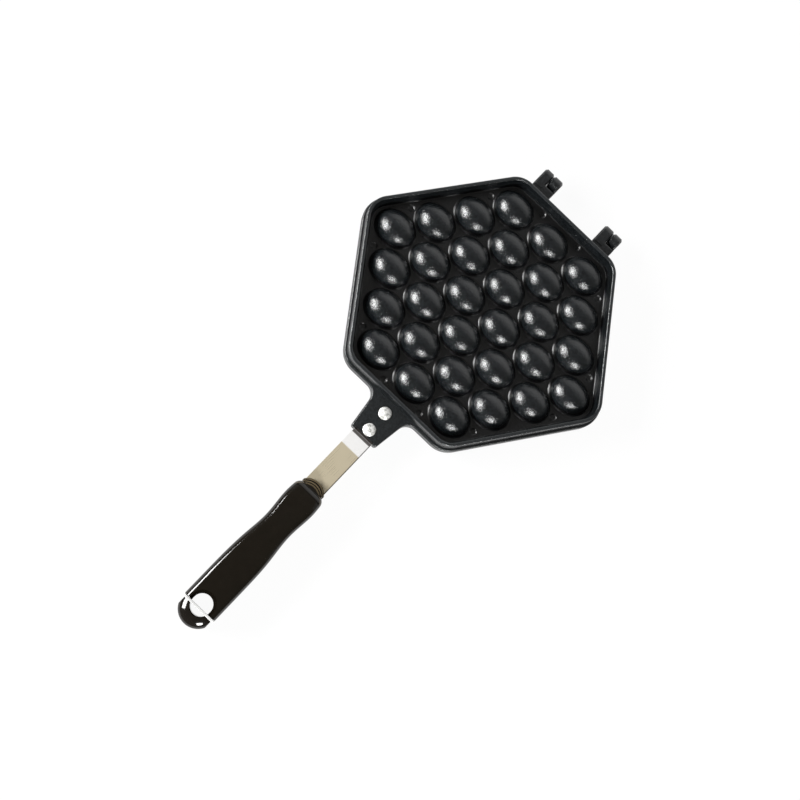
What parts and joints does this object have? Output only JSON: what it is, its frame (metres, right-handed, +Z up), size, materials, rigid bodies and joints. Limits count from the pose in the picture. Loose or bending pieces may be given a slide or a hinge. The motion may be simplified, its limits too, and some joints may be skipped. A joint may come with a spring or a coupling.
{
  "type": "egg waffle pan",
  "caption": "Hinged six-sided stove-top pan that moulds egg waffles between two domed cast halves, with strap-mounted grips locked by a wire bail.",
  "frame": {"origin": "below the middle of the closed pan's overall box, on the plane the lower rim rests on", "axes": "+Y along the handle from the grips towards the hinge, +X across, +Z up; the parting plane lies at z = 15.4 mm"},
  "size_m": [0.2108, 0.3918, 0.0308],
  "materials": {
    "cast_pan": "cast aluminium under a satin black speckled non-stick coat",
    "pin_steel": "plain turned steel",
    "strap_steel": "polished stainless strip",
    "grip_phenolic": "glossy black-brown moulded phenolic",
    "rivet_aluminium": "bright upset rivet",
    "bail_steel": "bright drawn wire"
  },
  "bodies": {
    "lower": {"lower_pan": "cast_pan", "lower_strap": "strap_steel", "lower_grip": "grip_phenolic", "lower_rivet_front": "rivet_aluminium", "lower_rivet_rear": "rivet_aluminium", "hinge_pin_left": "pin_steel", "hinge_pin_right": "pin_steel"},
    "upper": {"upper_pan": "cast_pan", "upper_strap": "strap_steel", "upper_grip": "grip_phenolic", "upper_rivet_front": "rivet_aluminium", "upper_rivet_rear": "rivet_aluminium"},
    "bail": {"bail_wire": "bail_steel"}
  },
  "joints": [
    {"name": "lid_hinge", "type": "hinge", "parent": "lower", "child": "upper", "pos_m": [0, 0.19094, 0.0154], "axis": [-1, 0, 0], "range_deg": [0, 180]},
    {"name": "bail_swing", "type": "hinge", "parent": "lower", "child": "bail", "pos_m": [0, -0.18264, 0.0081], "axis": [1, 0, 0], "range_deg": [0, 105]}
  ]
}
